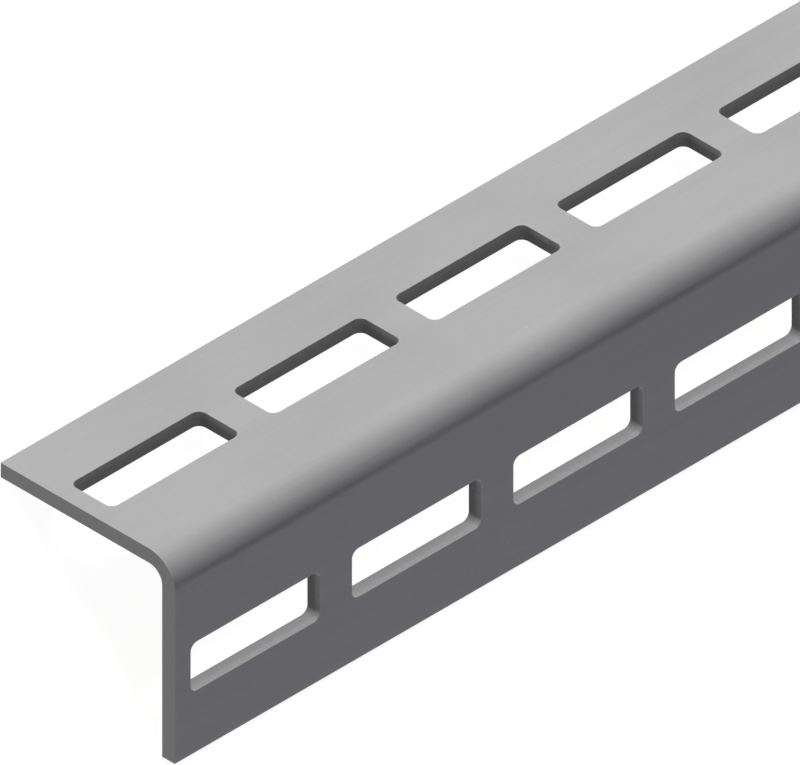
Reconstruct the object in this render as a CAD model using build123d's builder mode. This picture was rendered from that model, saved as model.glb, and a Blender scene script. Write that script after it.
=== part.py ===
from build123d import *
import os
from math import cos, radians, sin, tan

# A slotted angle profile: one steel strip, punched with a row of slots along each edge and
# then bent lengthwise into a right angle. It is stored as it comes to rest on a level floor,
# on the tips of its two legs with the bend on top. X runs along the profile, Y across it and
# Z up. The origin is on the floor, under the bend, halfway along the profile.

# Stock
length = 1500.0
thickness = 4.0

# Section
leg_width = 54.0  # outside, from the tip to the sharp corner that the bend takes off
inner_bend_radius = 4.0
bend_angle = 90.0  # what the strip is turned through

# Slots, the same in both legs
slot_length = 40.0
slot_width = 13.0
slot_corner_radius = 2.0
slot_web = 10.0  # steel left between one slot and the next

# The bend is one strip thickness all the way round, so its two arcs share a centre.
outer_bend_radius = inner_bend_radius + thickness
bend_setback = outer_bend_radius * tan(radians(bend_angle / 2))
flat_width = leg_width - bend_setback  # the flat of a leg, from its tip to the bend

# Both legs slope down from the bend by half of its angle, and rest on their inner edges.
leg_slope = radians(bend_angle / 2)
corner_height = leg_width * sin(leg_slope) + thickness * cos(leg_slope)
footprint = leg_width * cos(leg_slope)
tip_height = corner_height - leg_width * sin(leg_slope)

# The slots run down the middle of the flat. Both ends of the stock are cut through the
# middle of a web, so half a web is left beyond the first slot and the last.
slot_pitch = slot_length + slot_web
slot_count = int(length // slot_pitch)
slot_row_distance = leg_width - flat_width / 2  # from the sharp corner, along the leg
cut_depth = 2 * thickness


def leg_face(side):
    """The plane on the outer face of a leg, with its origin on the middle of the slot row."""
    return Plane(
        origin=(
            0,
            side * slot_row_distance * cos(leg_slope),
            corner_height - slot_row_distance * sin(leg_slope),
        ),
        x_dir=(1, 0, 0),
        z_dir=(0, side * sin(leg_slope), cos(leg_slope)),
    )


end_plane = Plane(origin=(-length / 2, 0, 0), x_dir=(0, 1, 0), z_dir=(1, 0, 0))

with BuildPart() as angle_profile:
    # The bent strip: its outside is drawn from tip to tip, and the inside follows it.
    with BuildSketch(end_plane):
        with BuildLine():
            FilletPolyline(
                (-footprint, tip_height),
                (0, corner_height),
                (footprint, tip_height),
                radius=outer_bend_radius,
            )
            offset(amount=thickness, side=Side.RIGHT)
        make_face()
    extrude(amount=length)

    # The slots, punched square through each leg.
    for side in (-1, 1):
        with BuildSketch(leg_face(side)):
            with GridLocations(slot_pitch, slot_width, slot_count, 1):
                RectangleRounded(slot_length, slot_width, slot_corner_radius)
        extrude(amount=-cut_depth, mode=Mode.SUBTRACT)

angle_profile.part.label = "angle_profile"

os.makedirs("parts", exist_ok=True)
export_step(angle_profile.part, "parts/angle_profile.step")

print("slots in each leg:", slot_count)
print("bend radii:", inner_bend_radius, "inside,", outer_bend_radius, "outside")
print("overall size:", angle_profile.part.bounding_box().size)
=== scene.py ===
# %% [markdown]
# # A slotted angle profile in plain steel
#
# The real profile starts as a flat steel strip. A press punches a row of slots along each edge of it, and
# a brake then bends it lengthwise into a right angle. This script makes the visible surface in nearly the
# same order. It lays out one flat slot cell, grows a cut end from it and bends both. Then it sets the
# cells in a row between two ends. After that come the finish of the steel, the floor, the lights and the
# camera.
#
# The solid model is loaded first and fixes the size and place of everything. Lengths are in metres.

# %% Load the frame
from math import cos, pi, radians, sin, sqrt, tan

import bmesh
import bpy
from mathutils import Matrix, Vector


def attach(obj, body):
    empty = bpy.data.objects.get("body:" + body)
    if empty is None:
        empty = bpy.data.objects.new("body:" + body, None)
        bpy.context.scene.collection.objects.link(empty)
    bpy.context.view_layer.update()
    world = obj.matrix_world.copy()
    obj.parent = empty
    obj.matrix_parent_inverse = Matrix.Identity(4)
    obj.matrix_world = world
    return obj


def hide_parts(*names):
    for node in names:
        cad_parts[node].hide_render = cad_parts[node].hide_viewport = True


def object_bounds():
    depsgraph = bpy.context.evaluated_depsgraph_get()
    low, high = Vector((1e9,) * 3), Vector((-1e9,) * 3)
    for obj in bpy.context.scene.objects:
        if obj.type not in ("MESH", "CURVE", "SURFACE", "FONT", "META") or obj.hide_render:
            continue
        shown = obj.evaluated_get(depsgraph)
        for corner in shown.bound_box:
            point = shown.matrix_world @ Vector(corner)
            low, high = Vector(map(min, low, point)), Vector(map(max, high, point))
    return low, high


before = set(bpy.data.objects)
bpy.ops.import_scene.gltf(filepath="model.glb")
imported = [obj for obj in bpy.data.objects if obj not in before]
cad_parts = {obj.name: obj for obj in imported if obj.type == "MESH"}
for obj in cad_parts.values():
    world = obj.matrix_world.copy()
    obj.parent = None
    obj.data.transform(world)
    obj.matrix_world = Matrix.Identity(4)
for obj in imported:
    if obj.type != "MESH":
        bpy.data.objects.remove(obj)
cad_low, cad_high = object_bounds()
print("CAD box in mm:", [round(1000 * size, 3) for size in cad_high - cad_low])

# %% [markdown]
# ## Sizes
#
# The length is read from the loaded box. The section, the slots and the bend can't be, so the sizes that
# a maker would put on the drawing are written here. The box only checks them: the height that follows
# from them has to be the height of the box. The box is 0.02 mm lower, because the bend of the loaded
# solid is made of flat facets.

# %% Sizes of the strip, the bend and the slots
MM = 0.001

thickness = 4 * MM
leg_width = 54 * MM
inner_bend_radius = 4 * MM
bend_angle = radians(90)
slot_length = 40 * MM
slot_width = 13 * MM
slot_corner_radius = 2 * MM
slot_web = 10 * MM
edge_break = 0.12 * MM
print("legs in mm:", leg_width / MM, "by", thickness / MM, "with edges rounded by", edge_break / MM)

# %% What follows from them
length = cad_high.x - cad_low.x
slot_pitch = slot_length + slot_web
slot_count = round(length / slot_pitch)
outer_bend_radius = inner_bend_radius + thickness
leg_flat = leg_width - outer_bend_radius * tan(bend_angle / 2)
leg_slope = bend_angle / 2
corner_height = leg_width * sin(leg_slope) + thickness * cos(leg_slope)
bend_centre_height = corner_height - outer_bend_radius / cos(leg_slope)
bend_top = bend_centre_height + outer_bend_radius
print("slots in each leg:", slot_count)
print("top of the bend in mm:", round(bend_top / MM, 3), "and of the box:", round(cad_high.z / MM, 3))

# %% [markdown]
# ## Formulas in node trees
#
# Both the shape and the finish of this profile follow formulas, and a formula is hard to read as a row of
# Math nodes. A small class wraps a node's socket instead, so that plain arithmetic on it adds those
# nodes. Every other node comes from one method, which takes the type of the node, its settings and what
# its sockets get.


# %% Arithmetic on sockets
class Term:
    """One output of a node. Arithmetic on it adds Math nodes to its tree."""

    def __init__(self, tree, socket):
        self.tree = tree
        self.socket = socket

    def math(self, operation, *others):
        values = dict(enumerate((self,) + others))
        return self.tree.node("ShaderNodeMath", {"operation": operation}, values)

    def reflected(self, operation, other):
        return self.tree.node("ShaderNodeMath", {"operation": operation}, {0: other, 1: self})

    def output(self, name):
        return Term(self.tree, self.socket.node.outputs[name])

    def __add__(self, other):
        return self.math("ADD", other)

    def __sub__(self, other):
        return self.math("SUBTRACT", other)

    def __mul__(self, other):
        return self.math("MULTIPLY", other)

    def __truediv__(self, other):
        return self.math("DIVIDE", other)

    def __lt__(self, other):
        return self.math("LESS_THAN", other)

    def __gt__(self, other):
        return self.math("GREATER_THAN", other)

    def __radd__(self, other):
        return self.reflected("ADD", other)

    def __rsub__(self, other):
        return self.reflected("SUBTRACT", other)

    def __rmul__(self, other):
        return self.reflected("MULTIPLY", other)

    def __rtruediv__(self, other):
        return self.reflected("DIVIDE", other)


# %% A tree that is written in code
class Tree:
    """A geometry or shader tree. One method makes its nodes of every type."""

    def __init__(self, data):
        self.data = data

    def node(self, kind, settings=None, inputs=None, output=0):
        made = self.data.nodes.new(kind)
        for name, value in (settings or {}).items():
            setattr(made, name, value)
        for name, value in (inputs or {}).items():
            for source in value if isinstance(value, list) else [value]:
                if isinstance(source, Term):
                    self.data.links.new(source.socket, made.inputs[name])
                else:
                    made.inputs[name].default_value = source
        return Term(self, made.outputs[output]) if len(made.outputs) else None

    def vector(self, x, y, z):
        """A vector from its three parts."""
        return self.node("ShaderNodeCombineXYZ", {}, {"X": x, "Y": y, "Z": z})

    def parts(self, vector):
        """The three parts of a vector."""
        split = self.node("ShaderNodeSeparateXYZ", {}, {"Vector": vector})
        return split, split.output("Y"), split.output("Z")

    def tell(self, made):
        """Prints what was made and how large the tree has grown."""
        print(f"{made}: {len(self.data.nodes)} nodes so far")


# %% A geometry tree with named sizes
def geometry_tree(name, sizes):
    """A geometry tree with one named input for each size, and those inputs as terms."""
    data = bpy.data.node_groups.new(name, "GeometryNodeTree")
    data.interface.new_socket("Geometry", in_out="INPUT", socket_type="NodeSocketGeometry")
    data.interface.new_socket("Geometry", in_out="OUTPUT", socket_type="NodeSocketGeometry")
    for size, value in sizes.items():
        kind = "NodeSocketInt" if isinstance(value, int) else "NodeSocketFloat"
        data.interface.new_socket(size, in_out="INPUT", socket_type=kind)
    data.interface.new_socket("Material", in_out="INPUT", socket_type="NodeSocketMaterial")
    tree = Tree(data)
    given = tree.node("NodeGroupInput")
    inputs = [socket.name for socket in data.interface.items_tree if socket.in_out == "INPUT"]
    print(name, "has the inputs", inputs)
    return tree, {name: given.output(name) for name in inputs}


# %% [markdown]
# ## The bend
#
# A brake bends the strip about one straight line, so the shape of the bend is a rule: a point keeps its
# place along the strip, and its distance across the strip becomes an angle inside the bend and a straight
# run beyond it. A Bend modifier could do something like it, but it bends everything it's given and can't
# keep the legs flat. The rule is short as a formula, and it's a small tree of its own because the cells
# and the ends both use it.
#
# Before it bends a point, the tree writes down where the point was on the flat strip: how far out from
# the middle line, and how deep in the thickness. The finish uses both later, because on the bent strip
# they are hard to tell from a point's place in space.

# %% A point's place on the flat strip
bend_sizes = {
    "Thickness": thickness,
    "Inner Bend Radius": inner_bend_radius,
    "Bend Angle": bend_angle,
    "Bend Centre Height": bend_centre_height,
}
bend_tree, size = geometry_tree("bend_strip", bend_sizes)
along, across, above = bend_tree.parts(bend_tree.node("GeometryNodeInputPosition"))
strip_place = bend_tree.vector(across.math("ABSOLUTE"), above, 0.0)
noted = bend_tree.node(
    "GeometryNodeStoreNamedAttribute",
    {"data_type": "FLOAT_VECTOR", "domain": "POINT"},
    {"Geometry": size["Geometry"], "Name": "strip_place", "Value": strip_place},
)
bend_tree.tell("place on the strip")


# %% The bend of a flat strip
def clamped(value, low, high):
    """A term kept between two limits."""
    return value.math("MAXIMUM", low).math("MINIMUM", high)


half_angle = size["Bend Angle"] / 2
half_width = (size["Inner Bend Radius"] + size["Thickness"] / 2) * half_angle
inside_bend = clamped(across, half_width * -1, half_width)
beyond_bend = across - inside_bend
turn = inside_bend / half_width * half_angle
radius = size["Inner Bend Radius"] + above
bent_y = radius * turn.math("SINE") + beyond_bend * turn.math("COSINE")
bent_z = size["Bend Centre Height"] + radius * turn.math("COSINE") - beyond_bend * turn.math("SINE")
bent = bend_tree.node(
    "GeometryNodeSetPosition",
    {},
    {"Geometry": noted, "Position": bend_tree.vector(along, bent_y, bent_z)},
)
bend_tree.node("NodeGroupOutput", {}, {"Geometry": bent})
bend_tree.tell("bend")

# %% [markdown]
# ## The punched strip
#
# The strip repeats itself with every slot, so one cell of it is made, one pitch long, and Geometry Nodes
# place the cells in a row. Cutting slots out of a bent solid would also work, but it leaves long thin
# triangles and no rounded edges. Here every row of points is placed by a formula, so the edges get their
# small rounding, and the cells meet point to point.
#
# A wall's cross-section is the same all round: a quarter round at the inner face, a straight wall, and a
# quarter round at the outer face. The slots and the tips of the legs both use it.

# %% The tree of the strip and its sizes
bend_segments = 32
corner_segments = 10
edge_segments = 3
weld = 0.002 * MM  # points that are closer than this become one

strip_sizes = dict(bend_sizes)
strip_sizes.update({
    "Leg Flat": leg_flat,
    "Slot Length": slot_length,
    "Slot Width": slot_width,
    "Slot Corner Radius": slot_corner_radius,
    "Slot Pitch": slot_pitch,
    "Slot Count": slot_count,
    "Edge Break": edge_break,
    "Bend Segments": bend_segments,
    "Corner Segments": corner_segments,
    "Edge Segments": edge_segments,
})
strip_tree, size = geometry_tree("angle_profile", strip_sizes)

# %% The cross-section of a cut wall
index = strip_tree.node("GeometryNodeInputIndex")
wall_rows = size["Edge Segments"] * 2 + 2  # the points of both quarter rounds
column = (index / wall_rows).math("FLOOR")
row = index - column * wall_rows
from_face = row.math("MINIMUM", wall_rows - 1 - row)
turn = from_face / size["Edge Segments"] * (pi / 2)
back = size["Edge Break"] * (1 - turn.math("SINE"))
depth = size["Edge Break"] * (1 - turn.math("COSINE"))
on_outer_side = row > size["Edge Segments"] + 0.5
height = depth + on_outer_side * (size["Thickness"] - depth * 2)
strip_tree.tell("cross-section of a wall")

# %% [markdown]
# The wall of a slot is a grid that is rolled up: its columns run round the slot and its rows go through
# the strip. The columns are counted off over four corners, each a quarter circle, and the straight sides
# are what is left between one corner and the next.

# %% The wall of one slot
corner_columns = size["Corner Segments"] + 1
corner = (column / corner_columns).math("FLOOR")
step = column - corner * corner_columns
direction = (corner + step / size["Corner Segments"]) * (pi / 2)
towards = (corner + 0.5) * (pi / 2)
round_radius = size["Slot Corner Radius"] + back
corner_x = towards.math("COSINE").math("SIGN") * (size["Slot Length"] / 2 - size["Slot Corner Radius"])
corner_y = towards.math("SINE").math("SIGN") * (size["Slot Width"] / 2 - size["Slot Corner Radius"])
wall_x = corner_x + round_radius * direction.math("COSINE")
wall_y = corner_y + round_radius * direction.math("SINE")
wall_grid = strip_tree.node(
    "GeometryNodeMeshGrid", {}, {"Vertices X": corner_columns * 4 + 1, "Vertices Y": wall_rows}
)
rolled_wall = strip_tree.node(
    "GeometryNodeSetPosition",
    {},
    {"Geometry": wall_grid, "Position": strip_tree.vector(wall_x, wall_y, height)},
)
slot_wall = strip_tree.node(
    "GeometryNodeMergeByDistance", {}, {"Geometry": rolled_wall, "Distance": weld}
)
strip_tree.tell("wall of a slot")

# %% [markdown]
# The flat of a leg is a rectangle with the slot as a hole in it. The rim of the wall gives the outline of
# the hole, and Fill Curve makes the face between that outline and the rectangle. It's used once for the
# inner face and once for the outer one. The rectangle starts one column of points outside the bend, so
# that the smooth shading of the bend ends on a narrow strip and doesn't spread over the flat.

# %% Where the flat of a leg starts and ends
half_bend_term = (size["Inner Bend Radius"] + size["Thickness"] / 2) * size["Bend Angle"] / 2
bend_column = half_bend_term * 2 / size["Bend Segments"]
flat_start = half_bend_term + bend_column
flat_end = half_bend_term + size["Leg Flat"] - size["Edge Break"]
row_centre = half_bend_term + size["Leg Flat"] / 2
strip_tree.tell("limits of the flat")


# %% Moving and joining
def moved(geometry, x=0.0, y=0.0, z=0.0, half_turn=False):
    """The geometry at a new place, and turned half round the vertical if asked."""
    place = {
        "Geometry": geometry,
        "Translation": strip_tree.vector(x, y, z),
        "Rotation": (0, 0, pi if half_turn else 0),
    }
    return strip_tree.node("GeometryNodeTransform", {}, place)


def joined(*geometries):
    """Several geometries as one."""
    return strip_tree.node("GeometryNodeJoinGeometry", {}, {"Geometry": list(geometries)})


# %% The flat of a leg
place_x, place_y, place_z = strip_tree.parts(strip_tree.node("GeometryNodeInputPosition"))
slot_rim = strip_tree.node(
    "GeometryNodeMeshToCurve", {}, {"Mesh": slot_wall, "Selection": place_z < weld}
)
flat_outline = strip_tree.node(
    "GeometryNodeCurvePrimitiveQuadrilateral",
    {"mode": "RECTANGLE"},
    {"Width": size["Slot Pitch"], "Height": flat_end - flat_start},
)
outlines = joined(moved(flat_outline, y=(flat_start + flat_end) / 2), moved(slot_rim, y=row_centre))
flat_face = strip_tree.node("GeometryNodeFillCurve", {"mode": "NGONS"}, {"Curve": outlines})
strip_tree.tell("flat of a leg")

# %% The tip of a leg and the bend
tip_grid = strip_tree.node("GeometryNodeMeshGrid", {}, {"Vertices X": 2, "Vertices Y": wall_rows})
tip_x = (column - 0.5) * size["Slot Pitch"]
tip_y = flat_end + size["Edge Break"] - back
tip_wall = strip_tree.node(
    "GeometryNodeSetPosition",
    {},
    {"Geometry": tip_grid, "Position": strip_tree.vector(tip_x, tip_y, height)},
)
bend_rows = size["Bend Segments"] + 3  # a segment more on each side, and a row more than segments
bend_face = strip_tree.node(
    "GeometryNodeMeshGrid",
    {},
    {"Size X": size["Slot Pitch"], "Size Y": flat_start * 2, "Vertices X": 2, "Vertices Y": bend_rows},
)
strip_tree.tell("tip and bend")

# %% One whole cell
leg = joined(flat_face, moved(flat_face, z=size["Thickness"]), moved(slot_wall, y=row_centre), tip_wall)
other_leg = moved(leg, half_turn=True)
cell_parts = joined(leg, other_leg, bend_face, moved(bend_face, z=size["Thickness"]))
cell = strip_tree.node("GeometryNodeMergeByDistance", {}, {"Geometry": cell_parts, "Distance": weld})
strip_tree.tell("cell")

# %% [markdown]
# ## The cut ends
#
# The stock is cut square, through the middle of a web, and its ends have the same small rounding. The end
# is grown out of the border of a cell, so its points meet those of the strip by themselves: each ring is
# extruded from the one before it, moved outwards and drawn in towards the middle of the strip's
# thickness. The rings are laid out in Python, so their number is fixed once the tree is built. The last
# ring is a plain rectangle, and one more extrusion from its lower side to its upper side closes it.

# %% The border of a cell
face_count = strip_tree.node("GeometryNodeInputMeshEdgeNeighbors")
on_border = face_count < 1.5  # an edge with one face; every other edge has two
half_pitch = size["Slot Pitch"] / 2
far_border = on_border * (place_x > half_pitch - weld)
core_y = clamped(place_y, flat_end * -1, flat_end)
core_z = clamped(place_z, size["Edge Break"], size["Thickness"] - size["Edge Break"])
strip_tree.tell("border of a cell")

# %% The rounding, ring by ring
end = cell
front = far_border
for ring in range(1, edge_segments + 1):
    turn_before = (ring - 1) / edge_segments * pi / 2
    turn_now = ring / edge_segments * pi / 2
    outwards = sin(turn_now) - sin(turn_before)
    shrink = cos(turn_now) / cos(turn_before)
    grown = strip_tree.node(
        "GeometryNodeExtrudeMesh", {"mode": "EDGES"}, {"Mesh": end, "Selection": front, "Offset Scale": 0.0}
    )
    front = grown.output("Top")
    ring_place = strip_tree.vector(
        place_x + size["Edge Break"] * outwards,
        core_y + (place_y - core_y) * shrink,
        core_z + (place_z - core_z) * shrink,
    )
    end = strip_tree.node(
        "GeometryNodeSetPosition", {}, {"Geometry": grown, "Selection": front, "Position": ring_place}
    )
strip_tree.tell("rings of the end")

# %% The closed end
open_end = strip_tree.node("GeometryNodeMergeByDistance", {}, {"Geometry": end, "Distance": weld})
lower_side = on_border * (place_x > half_pitch) * (place_z < size["Edge Break"] + weld)
wall_height = size["Thickness"] - size["Edge Break"] * 2
closed_end = strip_tree.node(
    "GeometryNodeExtrudeMesh",
    {"mode": "EDGES"},
    {"Mesh": open_end, "Selection": lower_side, "Offset": strip_tree.vector(0.0, 0.0, wall_height)},
)
end_cut = strip_tree.node(
    "GeometryNodeDeleteGeometry",
    {"domain": "FACE", "mode": "ALL"},
    {"Geometry": closed_end, "Selection": place_x < half_pitch + weld},
)
strip_tree.tell("closed end")

# %% [markdown]
# The cell is bent once and then goes on a line of points, one point for each slot. The last border on
# each side is drawn back by the width of the rounding, and the two ends fill that place. The strip is
# symmetric, so the near end is the far end turned half round.


# %% The row of cells
def bent_strip(geometry):
    """The geometry through the tree of the bend, with the sizes passed on."""
    inputs = {name: size[name] for name in bend_sizes}
    inputs["Geometry"] = geometry
    return strip_tree.node("GeometryNodeGroup", {"node_tree": bend_tree.data}, inputs)


half_length = size["Slot Pitch"] * size["Slot Count"] / 2
end_reach = half_length - size["Edge Break"]
stations = strip_tree.node(
    "GeometryNodeMeshLine",
    {"mode": "OFFSET"},
    {
        "Count": size["Slot Count"],
        "Start Location": strip_tree.vector(half_pitch - half_length, 0.0, 0.0),
        "Offset": strip_tree.vector(size["Slot Pitch"], 0.0, 0.0),
    },
)
cells = strip_tree.node(
    "GeometryNodeInstanceOnPoints", {}, {"Points": stations, "Instance": bent_strip(cell)}
)
row_of_cells = strip_tree.node("GeometryNodeRealizeInstances", {}, {"Geometry": cells})
drawn_back = strip_tree.vector(clamped(place_x, end_reach * -1, end_reach), place_y, place_z)
trimmed_row = strip_tree.node(
    "GeometryNodeSetPosition", {}, {"Geometry": row_of_cells, "Position": drawn_back}
)
strip_tree.tell("row of cells")

# %% The two ends and the finished strip
end_points = strip_tree.node(
    "GeometryNodeMeshLine",
    {"mode": "OFFSET"},
    {"Count": 2, "Start Location": (0, 0, 0), "Offset": (0, 0, 0)},
)
end_at_border = moved(end_cut, x=end_reach - half_pitch)
half_turns = strip_tree.vector(0.0, 0.0, index * pi)
ends = strip_tree.node(
    "GeometryNodeInstanceOnPoints",
    {},
    {"Points": end_points, "Instance": bent_strip(end_at_border), "Rotation": half_turns},
)
whole = strip_tree.node("GeometryNodeRealizeInstances", {}, {"Geometry": joined(trimmed_row, ends)})
finished = strip_tree.node("GeometryNodeSetMaterial", {}, {"Geometry": whole, "Material": size["Material"]})
strip_tree.node("NodeGroupOutput", {}, {"Geometry": finished})
strip_tree.tell("strip")

# %% [markdown]
# ## The steel: where a point lies
#
# The profile is plain rolled steel, and nothing is painted or printed on it. What tells it from grey
# plastic is fine and faint: the grain that the rolls leave along the strip, broad soft bands, clouds in
# the sheen, and cut walls that look different from the rolled faces. A picture wrapped round the profile
# would blur close up and show its seams, so formulas paint it instead.
#
# They need two kinds of place. The point's own coordinates serve the rolled faces. The cut walls face
# every way, so there the depth in the thickness matters, and that was written down before the strip was
# bent.

# %% Coordinates for the finish
steel = bpy.data.materials.new("rolled_steel")
steel.use_nodes = True
steel.node_tree.nodes.clear()
finish = Tree(steel.node_tree)
x, y, z = finish.parts(finish.node("ShaderNodeTexCoord").output("Object"))
noted_place = finish.node("ShaderNodeAttribute", {"attribute_name": "strip_place"}).output("Vector")
outward, depth, _ = finish.parts(noted_place)
finish.tell("coordinates")

# %% [markdown]
# ## The rolled faces
#
# Rolls press the strip out lengthwise, so the marks that they leave are long and narrow: hairlines a
# third of a millimetre wide, bands a few millimetres wide, and soft clouds on top. A fine bloom lies over
# them all. Each shifts the colour by a few percent at most, because with more of it the steel would look
# brushed. A few faint hairline scratches come from handling. They are the thin lines along which another
# stretched noise is zero, and a second noise hides most of them.
#
# Along a cut edge the punch has pulled the surface smooth, so a band less than a millimetre wide is a
# little brighter. Its shape comes from the distance to the nearest slot, by the usual formula for a
# rounded rectangle, and to the nearest end and tip.


# %% Grain, bands, clouds and bloom
def noise(place, detail=2.0):
    """Noise that swings about zero."""
    return finish.node("ShaderNodeTexNoise", {}, {"Vector": place, "Scale": 1.0, "Detail": detail}) - 0.5


def rolled_noise(width, run, detail=2.0):
    """Noise in patches of about this width, drawn out to this length along the profile."""
    return noise(finish.vector(x / run, y / width, z / width), detail)


grain = rolled_noise(width=0.35 * MM, run=28 * MM, detail=5.0)
bands = rolled_noise(width=4.5 * MM, run=260 * MM, detail=1.0)
clouds = rolled_noise(width=26 * MM, run=40 * MM)
bloom = rolled_noise(width=1.1 * MM, run=1.8 * MM)
finish.tell("marks of the rolls")

# %% Scratches
scratch_length = 70 * MM
scratch_spacing = 6 * MM
scratch_slope = 0.07
scratch_width = 0.006  # how near to zero the noise has to be
scratch_gap = 0.12  # more than this of the second noise, and a scratch shows
scratch_fade = 10  # how fast it comes up there

slanted_y = (y + x * scratch_slope) / scratch_spacing
slanted_z = (z - x * scratch_slope) / scratch_spacing
slant = finish.vector(x / scratch_length, slanted_y, slanted_z)
scratch_line = 1 - noise(slant, detail=1.0).math("ABSOLUTE") / scratch_width
scratch_here = (rolled_noise(width=14 * MM, run=50 * MM, detail=0.0) - scratch_gap) * scratch_fade
scratches = clamped(scratch_line, 0.0, 1.0) * clamped(scratch_here, 0.0, 1.0)
finish.tell("scratches")

# %% The bright band along the edges
bright_band = 0.9 * MM
half_bend = (inner_bend_radius + thickness / 2) * bend_angle / 2
slot_row = half_bend + leg_flat / 2

along_cell = (x - cad_low.x) / slot_pitch
from_middle = (along_cell.math("FRACT") - 0.5).math("ABSOLUTE") * slot_pitch
past_end = from_middle - (slot_length / 2 - slot_corner_radius)
past_side = (outward - slot_row).math("ABSOLUTE") - (slot_width / 2 - slot_corner_radius)
run_end = past_end.math("MAXIMUM", 0.0)
run_side = past_side.math("MAXIMUM", 0.0)
corner_run = (run_end * run_end + run_side * run_side).math("SQRT")
inside = past_end.math("MAXIMUM", past_side).math("MINIMUM", 0.0)
from_slot = corner_run + inside - slot_corner_radius
from_tip = half_bend + leg_flat - outward
from_end = length / 2 - x.math("ABSOLUTE")
from_edge = from_slot.math("MINIMUM", from_tip).math("MINIMUM", from_end)
polished = 1 - clamped(from_edge / bright_band, 0.0, 1.0)
finish.tell("bright band")

# %% [markdown]
# The marks are added up to a tone, which runs from 0 for the darker grey to 1 for the lighter one. The
# factor of a mark says how strongly it shows. The roughness is made in the same way.


# %% Colour and roughness of the rolled faces
def steel_grey(value):
    """A grey that is a little cooler than neutral."""
    return (value * 0.992, value, value * 1.035, 1)


def blend(factor, first, second):
    """A colour between two others, by the sockets that a Mix node keeps for colours."""
    return finish.node("ShaderNodeMix", {"data_type": "RGBA"}, {0: factor, 6: first, 7: second}, output=2)


rolled_dark = steel_grey(0.375)
rolled_light = steel_grey(0.465)

rolled_tone = 0.5 + grain * 0.7 + bands * 0.5 + clouds * 0.6 + bloom * 0.25
rolled_tone = clamped(rolled_tone + polished * 0.12 + scratches * 0.3, 0.0, 1.0)
rolled_colour = blend(rolled_tone, rolled_dark, rolled_light)
rolled_roughness = 0.56 + grain * 0.12 + clouds * 0.2 - polished * 0.04 - scratches * 0.08
finish.tell("rolled faces")

# %% [markdown]
# ## The punched walls
#
# A punch shears steel in two stages, and both can be seen on the wall of the hole. Where the punch goes in,
# at the outer face, it cuts a smooth and bright band with fine lines through the thickness. Then the rest
# breaks away, and the torn face is rough and dull. The line between the two wavers. A thin skin of oxide
# covers both and takes the metal's shine away. The walls are painted darker than the rolled faces, and
# darker still towards the inner face: that is painted shade, for the light that the slot keeps from its
# walls.
#
# A wall is told from a rolled face by its depth: it is more than the rounding of the edge away from both
# faces.

# %% Where the strip is cut, and how deep
from_face = depth.math("MINIMUM", thickness - depth)
cut = clamped(from_face / edge_break, 0.0, 1.0)
from_outer_face = thickness - depth
finish.tell("depth of a wall")


# %% The sheared band and the torn face
def wall_noise(width, through, detail=2.0):
    """Noise on a cut wall, in patches of this width round the cut and this length through the strip."""
    return noise(finish.vector(x / width, outward / width, depth / through), detail)


sheared_depth = 0.38 * thickness
waver_length = 4 * MM
waver_height = 0.8 * MM
tear_border = 0.25 * MM

waver = noise(finish.vector(x / waver_length, outward / waver_length, 0.0)) * waver_height
sheared = clamped((sheared_depth + waver - from_outer_face) / tear_border + 0.5, 0.0, 1.0)
drag_lines = wall_noise(width=0.3 * MM, through=7 * MM)
torn = wall_noise(width=0.35 * MM, through=0.5 * MM, detail=3.0) * (1 - sheared)
finish.tell("sheared and torn")

# %% Colour, painted shade, roughness and relief of the punched walls
# painted shade: these greys are darker than the rolled faces' to stand for the shade inside the slots
punched_shaded_dark = steel_grey(0.192)
punched_shaded_light = steel_grey(0.333)

# painted shade: the tone falls towards the inner face, deeper in the slot
punched_tone_and_shade = 0.5 - from_outer_face / thickness * 0.45 + sheared * 0.12
punched_tone_and_shade = punched_tone_and_shade + drag_lines * (0.3 + sheared * 0.5) + torn * 0.8
punched_colour_and_shade = blend(clamped(punched_tone_and_shade, 0.0, 1.0), punched_shaded_dark, punched_shaded_light)
punched_roughness = 0.66 - sheared * 0.2 + drag_lines * 0.1
punched_relief = drag_lines * 1.5 + torn * 5
finish.tell("punched walls")

# %% [markdown]
# ## The sawn ends
#
# The stock is sawn to length after it was punched. The blade runs level through both legs at once, so it
# leaves fine level lines on the end. The end is lighter than the walls of the slots, whose darker grey is
# painted shade. Only the ends lie at the full length of the profile, and that is how they are told from the
# slots.

# %% The saw lines
sawn_dark = steel_grey(0.355)
sawn_light = steel_grey(0.455)
saw_line_height = 0.22 * MM
saw_line_run = 30 * MM

sawn = from_end < edge_break / 2
saw_lines = noise(finish.vector(x / MM, y / saw_line_run, z / saw_line_height))
sawn_colour = blend(clamped(0.5 + saw_lines * 1.3, 0.0, 1.0), sawn_dark, sawn_light)
sawn_roughness = 0.55 + saw_lines * 0.15
sawn_relief = saw_lines * 2.5
finish.tell("sawn ends")

# %% [markdown]
# ## One shader for the three finishes
#
# Two masks mix the finishes: one tells a cut from a rolled face, and the other a sawn cut from a punched
# one. The bump is shallow: the grain is a few thousandths of a millimetre deep, enough to break the light
# along the bend. Bare steel is all metal, but the skin on rolled steel is mostly not. So about a third of
# the metal's look is given to the rolled faces, and nothing of it to the cuts. The skin is dull too, so
# its specular level is half of the usual one.

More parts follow.
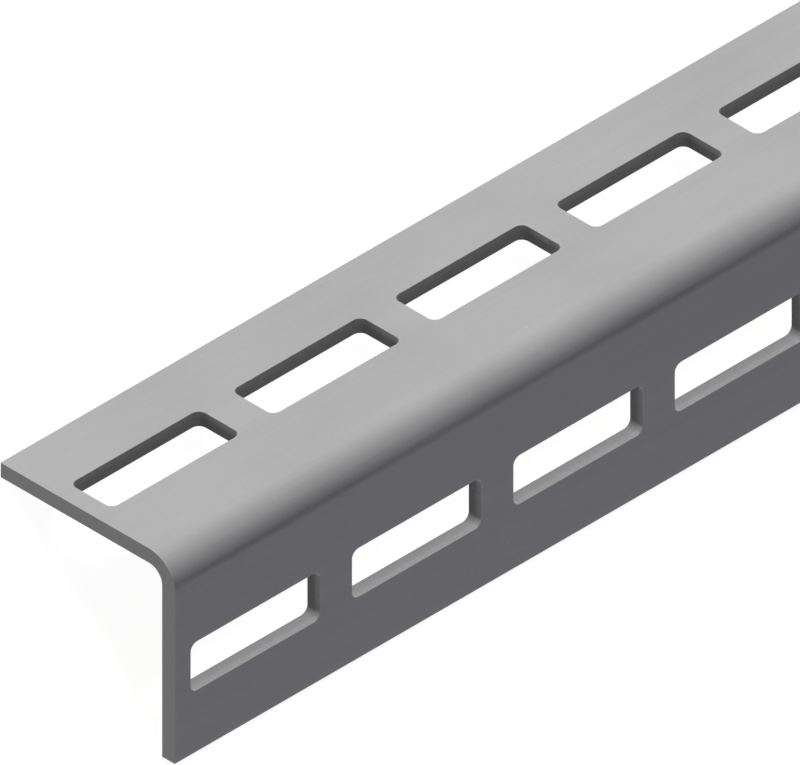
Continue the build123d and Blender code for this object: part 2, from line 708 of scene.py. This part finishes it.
# %% The mixed finish
# the punched part of this colour holds the painted shade of the slots
cut_colour_and_shade = blend(sawn, punched_colour_and_shade, sawn_colour)
cut_roughness = punched_roughness + sawn * (sawn_roughness - punched_roughness)
cut_relief = punched_relief + sawn * (sawn_relief - punched_relief)
base_colour = blend(cut, rolled_colour, cut_colour_and_shade)
roughness = rolled_roughness + cut * (cut_roughness - rolled_roughness)
relief = (grain - scratches * 0.15) * (1 - cut) + cut_relief * cut
finish.tell("mixed finish")

# %% The shader of the steel
metal_share = 0.35
relief_height = 0.006 * MM

bump = finish.node("ShaderNodeBump", {}, {"Strength": 1.0, "Distance": relief_height, "Height": relief})
steel_shader = finish.node(
    "ShaderNodeBsdfPrincipled",
    {},
    {
        "Base Color": base_colour,
        "Metallic": metal_share - cut * metal_share,
        "Roughness": roughness,
        "Normal": bump,
        "Specular IOR Level": 0.25,
    },
)
finish.node("ShaderNodeOutputMaterial", {}, {"Surface": steel_shader})
finish.tell("steel")

# %% [markdown]
# ## From the tree to a plain mesh
#
# A modifier works out its shape anew each time, and what leaves Blender is a mesh. So the tree runs once,
# on an object that has no points of its own, and its result is kept. The inputs are set by the identifier
# of their socket, which stays the same when a name changes.
#
# The cells came one by one, each with its own border. Points that lie on each other are merged first, and
# only then are the faces turned outwards, because that needs one closed surface. An edge that hasn't got
# a face on both sides would be a hole in the steel, so such edges are counted.


# %% Run the tree once
def set_sizes(modifier, values):
    """Gives a Geometry Nodes modifier its inputs, each by the identifier of its socket."""
    for socket in modifier.node_group.interface.items_tree:
        if socket.in_out == "INPUT" and socket.name in values:
            modifier[socket.identifier] = values[socket.name]


blank = bpy.data.objects.new("blank", bpy.data.meshes.new("blank"))
bpy.context.scene.collection.objects.link(blank)
modifier = blank.modifiers.new("angle_profile", "NODES")
modifier.node_group = strip_tree.data
set_sizes(modifier, {**strip_sizes, "Material": steel})
evaluated = blank.evaluated_get(bpy.context.evaluated_depsgraph_get())
profile_mesh = bpy.data.meshes.new_from_object(evaluated)
blank.modifiers.remove(modifier)
bpy.data.objects.remove(blank)
print("points before merging:", len(profile_mesh.vertices))

# %% Close the surface and turn it outwards
shape = bmesh.new()
shape.from_mesh(profile_mesh)
bmesh.ops.remove_doubles(shape, verts=shape.verts, dist=weld)
bmesh.ops.recalc_face_normals(shape, faces=shape.faces)
for face in shape.faces:
    face.smooth = True
open_edges = sum(len(edge.link_faces) != 2 for edge in shape.edges)
print("open edges:", open_edges, "volume in cm3:", round(shape.calc_volume() * 1e6, 3))
print("faces:", len(shape.faces), "triangles:", len(shape.calc_loop_triangles()))
shape.to_mesh(profile_mesh)
shape.free()

# %% [markdown]
# Smooth shading suits the bend, which turns by 3 degrees from one row of points to the next, and the
# corners of the slots, which turn by 9. A flat and a wall have to stay apart, so every edge that turns by
# more than 12 is marked sharp.
#
# The finished profile takes the place of the solid model, which is hidden, and rides on its only body.

# %% The finished profile
sharp_from = radians(12)
profile_mesh.set_sharp_from_angle(angle=sharp_from)
profile = bpy.data.objects.new("slotted_angle", profile_mesh)
bpy.context.scene.collection.objects.link(profile)
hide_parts("angle_profile")
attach(profile, "root")
print("profile in mm:", [round(1000 * side, 3) for side in profile.dimensions])

# %% [markdown]
# ## The floor
#
# The background of the photo is white. Enough lamp light to make a floor that white would also bleach the
# steel, so the floor is made of two looks. What bounces light onto the steel is a plain matte floor. What
# the camera sees, straight or as a reflection in the metal, glows by itself and is nearly white. A matte
# part on top makes it fully white in the light, and still takes the shadow of the profile. The Light Path
# node knows which of the two is asked for.
#
# The floor is a stage and not a part of the profile. It reaches far enough that no view sees past it.


# %% The floor's two looks
def grey(value):
    """A neutral grey, and white at 1."""
    return (value, value, value, 1)


bouncing_grey = grey(0.5)
shadow_grey = grey(0.31)
own_glow = 0.79

pale = bpy.data.materials.new("pale_floor")
pale.use_nodes = True
pale.node_tree.nodes.clear()
stage = Tree(pale.node_tree)
matte = stage.node("ShaderNodeBsdfDiffuse", {}, {"Color": bouncing_grey})
shadow_catcher = stage.node("ShaderNodeBsdfDiffuse", {}, {"Color": shadow_grey})
white = stage.node("ShaderNodeEmission", {}, {"Color": grey(1), "Strength": own_glow})
shown = stage.node("ShaderNodeAddShader", {}, {0: shadow_catcher, 1: white})
path = stage.node("ShaderNodeLightPath")
mirrored = path.output("Is Glossy Ray").math("MAXIMUM", path.output("Is Transmission Ray"))
seen = path.output("Is Camera Ray").math("MAXIMUM", mirrored)
two_looks = stage.node("ShaderNodeMixShader", {}, {0: seen, 1: matte, 2: shown})
stage.node("ShaderNodeOutputMaterial", {}, {"Surface": two_looks})
stage.tell("floor")

# %% The floor
reach = 8.0
floor_corners = [(-reach, -reach, 0), (reach, -reach, 0), (reach, reach, 0), (-reach, reach, 0)]
floor_mesh = bpy.data.meshes.new("floor")
floor_mesh.from_pydata(floor_corners, [], [(0, 1, 2, 3)])
floor_mesh.materials.append(pale)
floor = bpy.data.objects.new("floor", floor_mesh)
bpy.context.scene.collection.objects.link(floor)
print("floor:", 2 * reach, "m square")

# %% [markdown]
# ## The light
#
# The photo's light comes from the side of the one leg, and makes it light and the other one dark. That
# contrast shows the right angle. Area lamps would have to be far larger than the profile to light its
# whole length evenly, so these are suns, each with a disc that softens its edges.
#
# The key shines on the light leg from the side. The light leg would keep it from the slots in the dark
# one, but in the photo their lower walls are bright. So the key casts no shadow, as lamps in a drawing
# program often don't. The high lamp lights both legs from nearly overhead, and its shadow is the one on
# the floor.
#
# The low lamp shines up at the dark leg and only grazes it, as light does that a white table throws back.
# Between the place on the bend where the key lets go and the place where this lamp begins, a faint dark
# line is left. The lamp is under the floor, so it casts no shadow either.
#
# Two lamps shine along the profile, one from each side. They reach its sawn ends and little else. The
# fill is weak and blue, like the shade out of doors, and gives the dark leg its cool tint. The world is
# nearly black, because the floor does its work.


# %% A lamp by its direction
def sun(name, azimuth, elevation, strength, softness, color, shadow=True):
    """A soft lamp in a direction given by two angles: round from +X to +Y, and up from the floor."""
    turn = radians(azimuth)
    rise = radians(elevation)
    towards = Vector((cos(rise) * cos(turn), cos(rise) * sin(turn), sin(rise)))
    lamp = bpy.data.lights.new(name, "SUN")
    lamp.energy = strength
    lamp.angle = radians(softness)
    lamp.color = color
    lamp.use_shadow = shadow
    placed = bpy.data.objects.new(name, lamp)
    placed.rotation_mode = "QUATERNION"
    placed.rotation_quaternion = towards.to_track_quat("Z", "Y")
    bpy.context.scene.collection.objects.link(placed)
    print(f"{name}: strength {strength}, azimuth {azimuth}, elevation {elevation}, shadow {shadow}")


# %% The lamps
warm = (1.0, 0.99, 0.96)
blue = (0.9, 0.86, 2.5)
sun("key", azimuth=90, elevation=33, strength=2.57, softness=4, color=warm, shadow=False)
sun("high", azimuth=90, elevation=75, strength=0.92, softness=30, color=warm)
sun("low", azimuth=270, elevation=-34.5, strength=0.47, softness=5, color=warm, shadow=False)
sun("near_end", azimuth=180, elevation=2, strength=0.3, softness=4, color=warm)
sun("far_end", azimuth=0, elevation=2, strength=0.3, softness=4, color=warm)
sun("fill", azimuth=266, elevation=25, strength=0.05, softness=40, color=blue)

# %% The world
world_strength = 0.005
world = bpy.data.worlds.new("studio")
bpy.context.scene.world = world
world.use_nodes = True
background = world.node_tree.nodes["Background"]
background.inputs["Color"].default_value = grey(1)
background.inputs["Strength"].default_value = world_strength
print("world:", world_strength)

# %% [markdown]
# ## The camera
#
# The photo is an isometric view. Lines that are parallel on the profile are parallel in it, and it looks
# equally hard at the cut end and at the outer faces of the two legs. An orthographic camera gives that,
# turned so that its view makes the same angle with all three. In this frame the profile lies on both
# tips, so the camera leans over with it: its upward direction is not the floor's.
#
# Two measures from the photo then fix the scale and the place: how many pixels one slot is from the next,
# and the pixel of the sharp corner that the bend takes off at the near end. The view shortens every
# length along the profile, which the scale has to undo.

# %% Which way the camera looks
back = Vector((-1, 0, sqrt(2))).normalized()
right = Vector((sqrt(2), -1, 1)).normalized()
up = back.cross(right)
print("the camera stands towards", [round(part, 3) for part in back])

# %% Where it stands and how wide it sees
PHOTO_WIDTH = 800
PHOTO_HEIGHT = 765
PITCH_PX = 186.37
CORNER_PX = (174.26, 562.53)

shortened = sqrt(1 - back.x**2)
pixels_per_metre = PITCH_PX / slot_pitch / shortened
corner = Vector((cad_low.x, 0, corner_height))
centre = (
    corner
    + right * ((PHOTO_WIDTH - 1) / 2 - CORNER_PX[0]) / pixels_per_metre
    + up * (CORNER_PX[1] - (PHOTO_HEIGHT - 1) / 2) / pixels_per_metre
)
camera_data = bpy.data.cameras.new("camera")
camera_data.type = "ORTHO"
camera_data.ortho_scale = PHOTO_WIDTH / pixels_per_metre
camera = bpy.data.objects.new("camera", camera_data)
bpy.context.scene.collection.objects.link(camera)
camera.matrix_world = Matrix.Translation(centre + back) @ Matrix((right, up, back)).transposed().to_4x4()
bpy.context.scene.camera = camera
bpy.context.scene.view_settings.view_transform = "Standard"
print("camera sees in mm:", round(camera_data.ortho_scale / MM, 1), "across")
